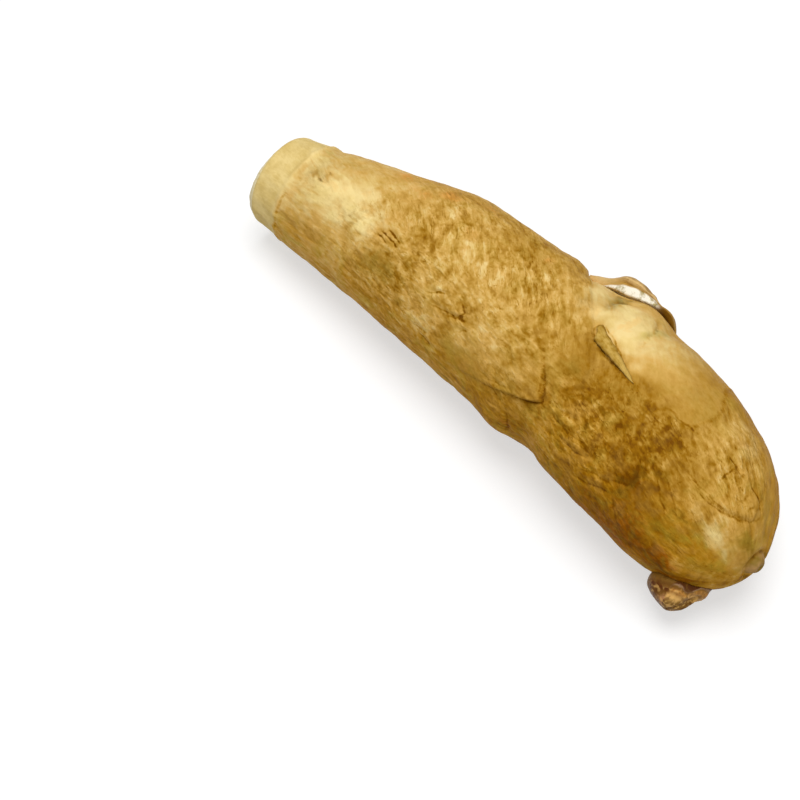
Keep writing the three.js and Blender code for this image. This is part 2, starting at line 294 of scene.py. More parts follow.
# Zones with soft edges, from the cut end to the tip: along, around, length (mm), spread (degrees)
# and amount. The first two kinds change the tone, the next five tint it, and in the last two the
# skin is more wrinkled and mottled, or less.
ZONES = {
    "lighter": [
        (4, -72, 5, 14, 0.14), (4, -45, 5, 40, 0.2), (6, 15, 3.5, 24, 0.2), (7, 4, 4, 12, 0.08),
        (20, -18, 3, 6, 0.1), (24, -32, 8, 12, 0.12), (24, -9, 6, 14, 0.36), (25, -72, 8, 8, 0.06),
        (26, -50, 4, 8, 0.04), (30, -2, 4, 10, 0.1), (30, 42, 5, 10, 0.16), (31, -16, 6, 12, 0.2),
        (35, -30, 3, 12, 0.18), (35, 10, 3, 6, 0.08), (36, -28, 3, 14, 0.14), (36, 15, 3, 12, 0.1),
        (38, -88, 28, 16, 0.1), (55, 10, 3, 5, 0.12), (56, -12, 3, 5, 0.1), (56, 4, 4, 5, 0.13),
        (58, -42, 3.5, 7, 0.1), (61, -20, 2.5, 5, 0.1), (61, -5, 4, 6, 0.15), (62, -68, 4, 8, 0.14),
        (62, -64, 5, 7, 0.08), (67, -14, 5, 6, 0.18), (74, -22, 6, 6, 0.04), (76, -56, 3, 6, 0.1),
        (81, -45, 3.5, 7, 0.16), (81, -30, 4, 6, 0.08), (85, -74, 60, 12, 0.04), (86, 12, 4, 8, 0.1),
        (90, 50, 3, 12, 0.22), (91, 34, 1.8, 11, 0.24), (93, 24, 3, 7, 0.12), (96.5, 14, 2.2, 8, 0.36),
        (101, 36, 3.5, 13, 0.36), (104, 16, 5, 12, 0.46), (105, 20, 4, 14, 0.12),
        (106, -90, 4, 8, 0.12), (107, -80, 4, 8, 0.14), (110, 17, 3, 6, 0.12), (111, 6, 4.5, 9, 0.3),
        (112, -48, 4, 6, 0.09), (112, 30, 6, 16, 0.2), (116, -34, 4, 8, 0.06), (118, 12, 5, 12, 0.06),
        (118, 18, 5, 8, 0.08), (122, 36, 6, 14, 0.1), (123, -60, 4, 6, 0.1), (126, -63, 3, 4, 0.1),
        (133, -8, 4, 8, 0.06), (136, 40, 3, 10, 0.12), (137, 24, 3, 10, 0.18), (138, 6, 3, 8, 0.05),
        (150, 15, 4, 8, 0.08), (152, -75, 5, 12, 0.1), (152, -15, 4, 10, 0.12), (155, -28, 3, 10, 0.16),
    ],
    "darker": [
        (2, 16, 3, 18, 0.12), (10, 25, 2.5, 10, 0.1), (15, -10, 2.5, 5, 0.1), (16, -9, 3, 5, 0.1),
        (19, -60, 9, 10, 0.14), (20, 12, 8, 14, 0.07), (27, -24, 4, 6, 0.08), (30, -20, 3, 5, 0.1),
        (34, -14, 4, 6, 0.1), (35, -6, 3, 7, 0.08), (35, -4, 3, 8, 0.1), (38, -57, 4, 7, 0.13),
        (42, -42, 4, 7, 0.06), (45, -8, 3, 5, 0.06), (45, 42, 20, 14, 0.05), (47, -52, 6, 10, 0.08),
        (50, -52, 5, 8, 0.08), (52, -35, 4, 10, 0.1), (53, -22, 4, 8, 0.1), (53, -10, 4, 8, 0.06),
        (54, -21, 2, 4, 0.08), (55, -36, 5, 10, 0.09), (60, -58, 3, 5, 0.1), (60, 12, 3, 6, 0.08),
        (66, -50, 4, 6, 0.08), (70, 32, 14, 14, 0.08), (70, 42, 10, 10, 0.05), (72, -57, 4, 6, 0.08),
        (72, 16, 9, 9, 0.12), (73, -44, 4, 5, 0.16), (75, 11, 4, 6, 0.09), (78, -30, 4, 6, 0.1),
        (80, 48, 6, 10, 0.08), (82, -3, 4, 6, 0.15), (88, -76, 8, 9, 0.1), (92, -30, 4, 10, 0.08),
        (95, -62, 4, 8, 0.05), (95, 21, 3, 6, 0.12), (96.3, 42, 1.4, 14, 0.3), (100, -56, 5, 10, 0.1),
        (102, -5, 4, 6, 0.16), (102, 22, 3, 6, 0.1), (107, -22, 9, 16, 0.13), (109, 30, 1.2, 22, 0.08),
        (110, -42, 5, 8, 0.06), (114, 6, 3, 5, 0.08), (116, -4, 8, 7, 0.12), (118, 36, 10, 16, 0.08),
        (120, -22, 8, 16, 0.1), (122, -48, 9, 12, 0.1), (125, 38, 4, 10, 0.1), (129, -16, 6, 14, 0.08),
        (132, -60, 4, 8, 0.06), (133, -38, 7, 16, 0.1), (133, -12, 5, 10, 0.1),
        (133.5, -48, 2.2, 6, 0.18), (135, -14, 5, 8, 0.07), (135, -10, 4, 14, 0.08),
        (140, -40, 4, 10, 0.1), (141, -52, 5, 8, 0.08), (141, -32, 4, 10, 0.08), (141, -18, 3, 5, 0.06),
        (142, -80, 8, 10, 0.1), (143, -56, 6, 10, 0.06), (149.5, -82, 3, 11, 0.08),
        (150, -83, 2.5, 9, 0.14), (150, -20, 4, 7, 0.06), (152, -62, 4, 10, 0.08),
        (152, 28, 5, 12, 0.04), (153, -90, 3, 8, 0.14), (157, -100, 3, 30, 0.1),
        (157, 8, 1.8, 16, 0.12),
    ],
    "olive": [
        (17, -82, 4, 6, 0.4), (38, -64, 5, 6, 0.5), (44, -52, 8, 11, 0.9), (78, -70, 9, 12, 0.7),
        (82, -3, 3, 8, 0.5), (98, -75, 5, 8, 0.5), (105, -25, 5, 10, 0.5), (112, -62, 6, 8, 0.4),
        (118, -30, 8, 12, 0.4), (127, 20, 4, 16, 0.4), (135, 44, 5, 9, 0.4), (147, -52, 6, 12, 0.7),
        (151, -40, 3.5, 8, 0.6), (156, -70, 3, 25, 0.5), (157, 8, 2, 18, 1.0),
    ],
    "rust": [
        (88, -104, 5, 12, 0.4), (96, -88, 3, 8, 0.6), (107, -88, 6, 7, 0.5), (122, -104, 9, 12, 0.6),
        (128, -82, 8, 9, 0.7), (134, -48, 4, 8, 0.8), (137, -96, 9, 12, 0.9), (138, -64, 6, 9, 0.7),
        (143, -84, 7, 11, 0.9), (144, -76, 6, 8, 0.6), (149.5, -82, 2.8, 11, 1.0),
        (151, -98, 4, 14, 0.9), (152.5, -90, 3, 8, 1.0),
    ],
    "orange": [
        (33, 32, 3, 12, 0.9), (40, 44, 6, 8, 0.6), (41, 15, 5, 9, 0.6), (45, -15, 4, 6, 0.3),
        (48, 27, 3, 10, 0.9), (56, 38, 4, 12, 0.6), (58, 6, 3, 5, 0.6), (78, 27, 2, 4, 0.7),
        (100, 45, 2, 8, 0.3), (139, 30, 3, 8, 0.4),
    ],
    "green": [
        (5, -70, 3, 14, 0.4), (10.2, 22, 1.0, 16, 0.7), (17, -84, 3, 5, 0.5), (96.3, 40, 1.6, 14, 0.8),
        (109, 34, 1.6, 18, 0.8), (132.6, 42, 2, 10, 0.5), (152, -42, 3, 10, 0.5), (156, 30, 2, 20, 0.5),
        (157, -40, 2.5, 30, 0.5),
    ],
    "straw": [
        (14, -10, 12, 50, 0.9), (30, -28, 8, 16, 1.0), (96, 26, 6, 22, 0.9), (112, 36, 10, 22, 0.7),
        (140, 34, 6, 16, 0.4), (154, -24, 5, 16, 0.8),
    ],
    "rough": [
        (16, -10, 5, 14, 0.3), (32, -25, 7, 20, 0.45), (45, -55, 9, 16, 0.6), (55, -15, 15, 42, 0.7),
        (60, 40, 20, 20, 0.3), (82, -12, 14, 40, 0.7), (116, -42, 13, 24, 0.75), (127, -8, 9, 14, 0.45),
        (134, -30, 8, 20, 0.4), (140, 38, 8, 12, 0.4), (145, 14, 8, 18, 0.7), (151, -30, 7, 30, 0.45),
    ],
    "calm": [
        (17, -68, 9, 12, 0.6), (20, 0, 8, 16, 0.7), (43, -52, 7, 11, 0.8), (55, 45, 8, 9, 0.5),
        (70, 22, 8, 8, 0.5), (80, -72, 8, 11, 0.9), (105, -24, 5, 9, 0.7), (148, -50, 7, 16, 0.3),
    ],
}

# Patches of the same kinds on the hidden side: seed, how rare they are, and size in mm.
HIDDEN_PATCHES = {"olive": (22, 0.25, 8), "rust": (23, 0.3, 9), "orange": (24, 0.5, 6),
                  "rough": (27, -0.2, 14)}

# The margin of the old skin on the upper side, with young skin beyond it, and the crease where
# that ends: around, along.
OLD_SKIN_MARGIN = [(-14, 140), (-11, 127.5), (-10, 121), (-8, 115.5), (-9, 109), (-4, 101.8), (0, 100.2),
                   (6, 98), (14, 95.2), (20, 93), (29, 90.2), (42, 86.8), (62, 82), (85, 80), (105, 83)]
YOUNG_SKIN_END = [(-14, 126), (-6, 127.5), (-2, 130.5), (5, 132.5), (20, 132.5), (29, 131.5),
                  (36, 129.4), (47, 126.8), (70, 125), (105, 127)]
OLD_SKIN_STEP = 0.45
YOUNG_SKIN_END_STEP = 0.35

# Other heights of the skin in mm. The wrinkles are lowest where the skin is calm, and the foot is
# the groove below the step of a pressed scale leaf.
RELIEF = {"calm_wrinkles": 0.03, "rough_wrinkles": 0.2, "lumps": 0.2, "foot": 0.3, "peeled": 0.15,
          "cut_face": 0.12}

# Lines wander by so much along (mm) and round the stem (degrees). The lips beside a line are a
# share of its depth high, at a distance and with a width in mm.
LINE_WANDER = {"along": 0.35, "around": 0.9}
LINE_LIP = {"share": 0.35, "distance": 1.3, "width": 0.6}

# Lines on the skin: width, depth and darkness, then the places that the line passes. Lines side
# by side run in opposite directions, so that the stored side of the nearest line doesn't jump.
LINES = [
    (0.46, 0.35, 2.0, [(41.2, -25.6), (43.6, -27.2), (46.8, -30.6)]),
    (0.50, 0.45, 2.2, [(46.4, -34), (43.4, -31), (39.8, -28.6)]),
    (0.42, 0.30, 1.6, [(39.2, -31.8), (43.4, -35.4)]),
    (0.75, 0.25, 1.0, [(14.8, -11), (16.2, -13.5), (17.5, -13)]),
    (0.60, 0.15, 0.7, [(16.5, -1), (17.5, -5)]),
    (0.80, 0.15, 0.5, [(10.6, -19), (11.6, -24)]),
    (0.70, 0.20, 0.6, [(33, 7), (34, 6)]),
    (0.70, 0.20, 0.9, [(56, 9), (57, 7.5)]),
    (0.60, 0.15, 0.7, [(77.5, 27), (78.5, 26)]),
    (0.50, 0.20, 0.8, [(61, -74), (63.5, -72), (66.5, -72)]),
    (0.45, 0.20, 0.7, [(63, -77.5), (66, -77), (68.5, -78)]),
    (0.65, 0.35, 1.5, [(69.5, -50.5), (72, -47.5), (74.5, -45.5)]),
    (0.50, 0.25, 1.2, [(72, -47.5), (73, -42), (71, -38)]),
    (0.50, 0.25, 1.0, [(61, -46), (64, -41), (66, -40)]),
    (0.45, 0.20, 1.0, [(64, -52), (68, -49), (72, -47.5)]),
    (0.42, 0.15, 0.6, [(74.5, -55), (75, -52), (76.5, -50)]),
    (0.45, 0.15, 0.8, [(100.6, -50), (99.4, -44), (97.6, -38)]),
    (0.42, 0.20, 0.5, [(86, -67), (89.5, -70.5), (93.5, -75)]),
    (0.42, 0.15, 0.5, [(83.5, -66), (88, -64.5), (93, -61)]),
    (0.70, 0.35, 0.7, [(94.6, -78), (95.6, -86), (95.9, -94), (94.8, -104)]),
    # The next line, along the torn strip's lower edge, is a painted shadow under the strip.
    (0.90, 0.30, 0.8, [(101.4, -3), (105, -5.6), (109, -7.8), (113, -9), (117, -10)]),
    (0.45, 0.20, 1.1, [(100.4, 8.6), (105.2, 4.8), (109.6, -1.4), (113.2, -5.4)]),
    (0.42, 0.20, 0.9, [(100, 9), (99.6, 4), (100.6, 0), (102, -4.4)]),
    (0.90, 0.35, 0.35, [(96, 22), (95.6, 36), (97, 44), (100.2, 51)]),
    (0.90, 0.30, 0.45, [(106, 50), (107.6, 40), (109.2, 24), (110.6, 8)]),
    (0.45, 0.20, 0.6, [(126.5, -3), (131, -0.5), (134.5, 3.5)]),
    (0.42, 0.15, 0.6, [(121, -12), (126, -13), (131, -10), (137, -9)]),
    (0.50, 0.35, 1.2, [(141.3, 14.6), (143.4, 16.2), (146.2, 18.4)]),
    (0.70, 0.20, 0.7, [(143.2, 16), (145, 17.4)]),
    (0.42, 0.20, 0.9, [(143.8, 15.4), (144.4, 7), (145, 0)]),
    (0.45, 0.25, 1.0, [(147.4, 22.6), (150, 26.8), (151.6, 30), (153.6, 31.6)]),
    (0.45, 0.15, 0.8, [(153.6, 31.6), (154.2, 22), (153.5, 4), (150.3, -10), (147, -15), (143.2, -18)]),
    (0.42, 0.12, 0.6, [(151.5, -4), (148, -9.5), (144.5, -13), (139, -16)]),
    (0.42, 0.12, 0.5, [(149.5, 20), (150.6, 12), (148.8, 6)]),
    (0.42, 0.12, 0.5, [(151.8, 22), (152, 12)]),
    (0.45, 0.20, 0.6, [(118, -81.5), (124, -75), (129.5, -68.5), (133, -65)]),
    (0.50, 0.20, 0.5, [(132.6, -64), (136, -74), (138.5, -82)]),
    (0.45, 0.20, 0.8, [(129.5, -60), (134.5, -51), (134, -42), (131.5, -33)]),
    (0.42, 0.15, 0.6, [(137, -33), (141, -38), (144.5, -45)]),
    (0.42, 0.15, 0.5, [(138, -27), (142.5, -32), (147, -40)]),
    (0.42, 0.15, 0.5, [(104, -84), (110, -86.5), (115, -85)]),
    (0.42, 0.15, 0.5, [(103, -49.5), (108, -50), (114, -48.5)]),
    (0.42, 0.15, 0.5, [(106, -56), (112, -57.5), (119, -55)]),
    (0.42, 0.15, 0.5, [(110, -64), (117, -64), (123, -59)]),
    (0.42, 0.15, 0.5, [(121, -70), (126, -64), (131, -61)]),
    # The next line, along the lower side of the peeled ring's lip, is painted shade under the lip.
    (0.60, 0.15, 0.6, [(9.6, -36), (9.3, -60), (9.4, -90)]),
]


def bumps(along, around, places):
    """The sum of soft-edged bumps, each given as along, around, length, spread and amount."""
    total = np.zeros(along.shape)
    for place, turn, length, spread, amount in places:
        offset = turn_between(around, turn)
        total += amount * bell((along - place) / length) * bell(offset / spread)
    return total


def past_line(along, around, line):
    """How far along each place is past a line drawn round the stem."""
    turns, places = zip(*line)
    return along - np.interp(around, turns, places)


def young_skin(along, around):
    """1 on the young skin between the old skin's margin and the crease before the tip, else 0."""
    ragged = 14 * smoothstep(along, 108, 118)
    upper = (1 - smoothstep(around, 85, 105)) * smoothstep(around, -14, ragged - 11)
    started = smoothstep(past_line(along, around, OLD_SKIN_MARGIN), -0.25, 0.35)
    return started * upper * (1 - smoothstep(past_line(along, around, YOUNG_SKIN_END), -0.3, 0.4))


def margin_lines(along, around):
    """The swollen end of the young skin, and painted shade in the crease at that end and just past the
    old skin's step at the margin.
    """
    upper = (1 - smoothstep(around, 60, 100)) * smoothstep(around, -12, -4)
    wander = 0.35 * noise(grain(along, around, 0, 5, 5), 35)
    short_of_end = wander - past_line(along, around, YOUNG_SKIN_END)
    swollen = smoothstep(short_of_end, -0.35, 0.45) * np.exp(-np.maximum(short_of_end, 0) / 4)
    # Painted shade: a dark line in the crease at the young skin's end, and one just past the old skin's
    # step
    crease = bell((short_of_end + 0.3) / 0.42) * smoothstep(around, -4, 8)
    past_margin = past_line(along, around, OLD_SKIN_MARGIN)
    margin = bell((past_margin - 0.2) / 0.4) * smoothstep(around, 6, 12)
    return YOUNG_SKIN_END_STEP * swollen * upper, upper * np.maximum(0.5 * crease, 0.25 * margin)


def hidden_side(around):
    """1 on the far side and the underside, where nothing particular is known, and 0 on top."""
    return smoothstep(np.abs(turn_between(around, FINE_SIDE)), 88, 118)


# ---- Heights of the skin ----

def edge_heights(along, around):
    """The steps at the points of the pressed scale leaves, and the groove at each foot, which also marks
    the painted shade under each step.
    """
    rise = np.zeros(along.shape)
    foot = np.zeros(along.shape)
    wander = noise(grain(along, around, 0, 4, 4), 31) * 0.5
    for edge in SCALE_EDGES:
        turn = turn_between(around, edge["around"])
        run = np.where(turn > 0, edge["above"][0], edge["below"][0])
        fall = np.where(turn > 0, edge["above"][1], edge["below"][1])
        behind = edge["along"] - fall * np.abs(turn / run) ** EDGE_POINTING - along + wander
        height = edge["rise"] * bell(turn / run)
        step = smoothstep(behind, -EDGE_SHARPNESS, EDGE_SHARPNESS)
        rise += height * step * np.exp(-np.maximum(behind, 0) / edge["reach"])
        # foot: the groove under each step, and also where shade is painted dark along it
        foot += 1.6 * height ** 1.5 * bell((behind + 0.45) / 0.42)
    return rise, foot


def peel_ring(along):
    """1 on the thin ring where the peeled skin ends, and 0 away from it."""
    return bell((along - PEEL["along"]) / PEEL["width"])


def broad_heights(along, around):
    return PEEL["rise"] * peel_ring(along) + bumps(along, around, SWELLINGS + [CUSHION])


def line_heights(along, around):
    """The grooves of the drawn lines with a low lip on each side.

    Also how far each place is to one side of the nearest line, as a share of the line's width,
    and how dark that line is there, so that the material can draw it sharply."""
    rise = np.zeros(along.shape)
    offset = np.full(along.shape, FAR)
    shade = np.zeros(along.shape)
    wander = grain(along, around, 0, 2.2, 2.2)
    moved_along = along + LINE_WANDER["along"] * noise(wander, 41)
    moved_around = around + LINE_WANDER["around"] * noise(wander, 42)
    for width, groove, darkness, line in LINES:
        distance, reached = near_line(moved_along, moved_around, line)
        from_end = 6 * np.minimum(reached, 1 - reached)
        lip = LINE_LIP["share"] * bell((np.abs(distance) - LINE_LIP["distance"]) / LINE_LIP["width"])
        rise += groove * np.clip(from_end, 0.35, 1) * (lip - bell(distance / width))
        nearest = np.abs(distance / width) < np.abs(offset)
        offset = np.where(nearest, distance / width, offset)
        shade = np.where(nearest, darkness * np.clip(from_end, 0, 1), shade)
    shade *= 1 - smoothstep(np.abs(offset), 1.3, 2.1)
    return rise, np.clip(offset, -3, 3), shade


def wrinkle_heights(along, around, rough):
    """Fibrous wrinkles: slanting on the upper side, running along the stem lower down."""
    fields = []
    for twist, seed in ((SLANTING_TWIST, 51), (STRAIGHT_TWIST, 61)):
        bend = 0.5 * noise(grain(along, around, twist, 9, 6), seed + 5)[..., None]
        long_ridges = 1 - 2 * np.abs(noise(grain(along, around, twist, 6.5, 2.6) + bend, seed))
        short_ridges = 1 - 2 * np.abs(noise(grain(along, around, twist, 3.2, 1.5) + bend, seed + 1))
        fields.append(0.6 * long_ridges + 0.4 * short_ridges)
    slant = slant_share(along, around)
    ridges = between(fields[1], fields[0], slant)
    lumps = layered_noise(grain(along, around, 0.8, 7, 5), 71, 2)
    height = RELIEF["calm_wrinkles"] + RELIEF["rough_wrinkles"] * rough
    return ridges * height + RELIEF["lumps"] * lumps, ridges


def slant_share(along, around):
    """Where the grain slants round the stem: the upper side, up to the young skin."""
    upper = smoothstep(turn_between(around, 0), -32, -8) * (1 - smoothstep(around, 110, 150))
    return upper * (1 - smoothstep(along, 112, 128))


# ---- The skin mesh ----

def skin_rows():
    """Rows from the middle of the cut face to the tip, as places along and shares."""
    face = CUT_FACE_SHARE
    rows = [(0.0, share) for share in np.linspace(face / CUT_ROWS, face, CUT_ROWS)]
    for angle in np.linspace(0, math.pi / 2, RIM_ROWS + 1)[1:-1]:
        rows.append((CUT_RIM * (1 - math.cos(angle)), face + (1 - face) * math.sin(angle)))
    start = CUT_RIM
    for end, step in ROW_STEPS:
        places = np.linspace(start, end, round((end - start) / step), endpoint=False)
        rows += [(place, 1.0) for place in places]
        start = end
    for closing in np.linspace(0, math.pi / 2, TIP_ROWS, endpoint=False):
        place = TIP_START + (LENGTH - TIP_START) * math.sin(closing) ** (2 / TIP_BLUNTNESS)
        rows.append((place, math.cos(closing) ** (2 / TIP_BLUNTNESS)))
    return np.array(rows)


def grid_mesh(name, points, first_pole, last_pole):
    """A closed mesh from rows of points round a body, with a pole at each end."""
    row_count, turn_count = points.shape[:2]
    vertices = np.concatenate([points.reshape(-1, 3), [first_pole, last_pole]])
    index = np.arange(row_count * turn_count).reshape(row_count, turn_count)
    turned = np.roll(index, -1, axis=1)
    quads = np.stack([index[:-1], index[1:], turned[1:], turned[:-1]], -1).reshape(-1, 4)
    first = row_count * turn_count
    start_fan = [(first, a, b) for a, b in zip(index[0], turned[0])]
    end_fan = [(first + 1, b, a) for a, b in zip(index[-1], turned[-1])]
    mesh = bpy.data.meshes.new(name)
    mesh.from_pydata(vertices * MM, [], quads.tolist() + start_fan + end_fan)
    mesh.shade_smooth()
    return mesh


def with_poles(values):
    """The values of a grid's vertices, and those of the two poles after them."""
    return np.concatenate([values.ravel(), [values[0].mean(), values[-1].mean()]])


# The kinds of stored values: Blender's name for the value, and how many numbers it has.
STORED = {"FLOAT": ("value", 1), "FLOAT_VECTOR": ("vector", 3)}


def store(mesh, name, values, kind="FLOAT"):
    """Stores a number or a place for each vertex, for the material to read."""
    layer = mesh.attributes.new(name, kind, "POINT")
    layer.data.foreach_set(STORED[kind][0], np.ascontiguousarray(values, np.float32).ravel())


def store_grid(mesh, values):
    """Stores named numbers for the vertices of a grid and its poles."""
    for name, value in values.items():
        store(mesh, name, with_poles(value))


def new_object(name, data):
    thing = bpy.data.objects.new(name, data)
    bpy.context.scene.collection.objects.link(thing)
    return thing


def tip_scar(points):
    """The round scar of the old shoot on the very tip: its height, its dark rim and its face."""
    across = points[..., 1] - SHOOT_SCAR["side"]
    upward = points[..., 2] - SHOOT_SCAR["height"]
    ring = np.hypot(across, upward) / SHOOT_SCAR["radius"]
    at_tip = smoothstep(points[..., 0], 68, 74)
    button = SHOOT_SCAR["reach"] * (1 - smoothstep(ring, 0.35, 1.15))
    dimple = SHOOT_SCAR["dimple"] * bell(ring / 0.3)
    groove = SHOOT_SCAR["groove"] * bell((ring - 1.3) / 0.24)
    crescent = bell((ring - 1.2) / 0.16) * smoothstep(upward, 0.8, 2.6)
    face = 1 - smoothstep(ring, 0.9, 1.4)
    return at_tip * (button - dimple - groove), at_tip * crescent, at_tip * face


def skin_grid():
    """Each skin vertex's place along, turn round and share of the way out from the axis."""
    rows = skin_rows()
    share_of_turn = np.arange(TURNS) / TURNS - 0.5
    turns = FINE_SIDE + 360 * share_of_turn - TURN_CROWDING * np.sin(2 * np.pi * share_of_turn)
    along = np.repeat(rows[:, :1], TURNS, axis=1)
    share = np.repeat(rows[:, 1:], TURNS, axis=1)
    around = np.repeat(turn_between(turns, 0)[None, :], len(rows), axis=0)
    return along, around, share


def painted_values(along, around):
    """The zones with wandering edges, the tone of the skin, and patches on the hidden side."""
    warp = grain(along, around, 0, 6, 6)
    soft_along = along + 2.0 * noise(warp, 11) + 1.2 * noise(warp * 2.7, 12)
    soft_around = around + 5 * noise(warp, 13) + 3.5 * noise(warp * 2.7, 14)
    shown = {name: bumps(soft_along, soft_around, places) for name, places in ZONES.items()}
    hidden = hidden_side(around)
    for name, (seed, threshold, size) in HIDDEN_PATCHES.items():
        spots = layered_noise(grain(along, around, 0, size * 1.3, size), seed, 2)
        shown[name] += 0.8 * hidden * smoothstep(spots, threshold, threshold + 0.7)
    young = young_skin(along, around)
    tone = smooth(TONE_ALONG, along / LENGTH) + shown.pop("lighter") - shown.pop("darker")
    tone += 0.13 * hidden * layered_noise(grain(along, around, 0, 13, 10), 21, 2) + 0.08 * young
    aside = np.abs(turn_between(around, 10))
    shown["rough"] += 0.2 + 0.35 * smoothstep(aside, 50, 90)
    shown["rough"] *= (1 - 0.75 * young) * (1 - 0.7 * np.clip(shown.pop("calm"), 0, 1))
    shown["warm"] = warmth(along, aside)
    return shown, tone, young


def warmth(along, aside):
    """1 where the colours are warm, low on the sides and towards the tip, and 0 on top."""
    toward_tip = 0.7 * smoothstep(along, 90, 115) * smoothstep(aside, 25, 60)
    toward_tip += 0.35 * smoothstep(along, 138, 150)
    return np.clip(smoothstep(aside, 58, 95) + toward_tip, 0, 1)


def skin_heights(along, around, share, rough, young, peeled, base):
    """How far each vertex is pushed out from the plain body, and what its creases look like."""
    edges, foot = edge_heights(along, around)
    grooves, offset, shade = line_heights(along, around)
    wrinkles, ridges = wrinkle_heights(along, around, rough)
    swollen, margin = margin_lines(along, around)
    height = edges - RELIEF["foot"] * foot + grooves + wrinkles + swollen
    height -= OLD_SKIN_STEP * young + RELIEF["peeled"] * peeled
    height *= smoothstep(share, 0.25, 0.75) * smoothstep(along, 0.3, 3)
    face_relief = RELIEF["cut_face"] * layered_noise(base / 2.5, 91, 2)
    height = np.where(along < CUT_FACE_END, face_relief, height)
    scar, crescent, scar_face = tip_scar(base)
    height = height * (1 - scar_face) + scar
    # dark: painted shade at the feet of the scale steps, past the margin's step and in the crease, with
    # the scar's own dark rim
    dark = np.maximum(1.1 * foot, np.maximum(0.8 * margin, 1.3 * crescent))
    creases = {"dark": dark, "line_side": offset, "line_dark": shade, "ridge": ridges}
    return height, creases, scar_face


def push_out(mesh, places, height):
    """Pushes the vertices out along the mesh's normals by a height in mm, but not below the floor."""
    normals = np.empty(len(mesh.vertices) * 3, np.float32)
    mesh.vertex_normals.foreach_get("vector", normals)
    places = places + normals.reshape(-1, 3) * height[:, None]
    places[:, 2] = np.maximum(places[:, 2], 0)
    mesh.vertices.foreach_set("co", (places * MM).astype(np.float32).ravel())
    mesh.update()


def make_skin():
    """The whole skin, with the values that its material reads."""
    along, around, share = skin_grid()
    shown, tone, young = painted_values(along, around)
    ragged = 0.6 * noise(grain(along, around, 0, 3, 3), 15)
    peeled = 1 - smoothstep(along + ragged, PEEL["along"] - 0.6, PEEL["along"] + 0.5)
    shown["rough"] *= 1 - 0.8 * peeled
    # The peeled ring's lip is painted lighter on its upper side: a painted highlight where light falls
    # on it.
    tone += 0.14 * peel_ring(along) * smoothstep(around, -50, -25)
    base = stem_points(along, around, share, broad_heights(along, around) * smoothstep(share, 0, 0.9))
    height, creases, scar_face = skin_heights(along, around, share, shown["rough"], young, peeled, base)

    poles = [base[0].mean(0), base[-1].mean(0) + [TIP_POLE_REACH, 0, 0]]
    mesh = grid_mesh("tuber_skin", base, *poles)
    push_out(mesh, np.concatenate([base.reshape(-1, 3), poles]), with_poles(height))
    store_grid(mesh, {
        **shown, **creases, "tone": tone, "flesh": peeled, "scar": scar_face,
        "slant": slant_share(along, around), "face": (along < CUT_FACE_END) * share,
        "blunt": (along > TIP_START) * (1 - smoothstep(share, 0.45, 0.92)),
        "known": np.ones(along.shape),
    })
    flat_along, flat_around = with_poles(along), with_poles(around)
    for name, twist in (("grain_slanting", SLANTING_TWIST), ("grain_straight", STRAIGHT_TWIST)):
        store(mesh, name, grain(flat_along, flat_around, twist, 1, 1), "FLOAT_VECTOR")
    return new_object("tuber_skin", mesh)


# ---- The side bud ----

def bud_points(reach_share, turn, radius_share, out):
    """Points of the bud in mm: reach_share runs along its axis, turn is in radians round it."""
    yaw, dip = math.radians(BUD["yaw"]), math.radians(BUD["dip"])
    forward = np.array([math.cos(dip) * math.cos(yaw), math.cos(dip) * math.sin(yaw), -math.sin(dip)])
    sideways = np.array([-math.sin(yaw), math.cos(yaw), 0])
    upward = np.cross(forward, sideways)
    centre = np.array([BUD["along"] - ORIGIN_ALONG, BUD["side"], BUD["height"]])
    wide = (BUD["radius"] * radius_share + out) * np.cos(turn)
    high = (BUD["thickness"] * radius_share + out) * np.sin(turn)
    ahead = BUD["reach"] * reach_share
    return centre + ahead[..., None] * forward + wide[..., None] * sideways + high[..., None] * upward


def bud_rows():
    """Places along the bud's axis as shares of its reach, with its radius at each."""
    neck = np.linspace(-0.9, 0.25, BUD_NECK_ROWS, endpoint=False)
    end = 0.25 + 0.75 * np.sin(np.linspace(0, math.pi / 2, BUD_END_ROWS, endpoint=False))
    reach = np.concatenate([neck, end])
    rounding = np.clip((reach - 0.25) / 0.75, 0, 1) ** 3
    return reach, (0.84 + 0.16 * smoothstep(reach, -0.2, 0.4)) * np.sqrt(1 - rounding)


def bud_heights(reach, near, sideways, wander):
    """How far the bud stands out from its plain shape, and the folds at its scales' edges."""
    out = 0.2 * wander - BUD["neck_sunk"] * (1 - smoothstep(reach, -0.1, 0.3))
    out -= BUD["near_cut"] * smoothstep(near, 0, 1) * smoothstep(reach, -0.1, 0.35)
    out += BUD["far_swell"] * smoothstep(-near, 0, 1)
    fold = np.zeros(reach.shape)
    for edge, tilt, facing, height in BUD_SCALES:
        toward = math.radians(facing)
        slope = near * math.cos(toward) + sideways * math.sin(toward)
        behind = edge + tilt * slope + 0.05 * wander - reach
        out += height * smoothstep(behind, -0.06, 0.04) * np.exp(-np.maximum(behind, 0) / 0.45)
        fold = np.maximum(fold, bell((behind + 0.05) / 0.07))
    return out, fold


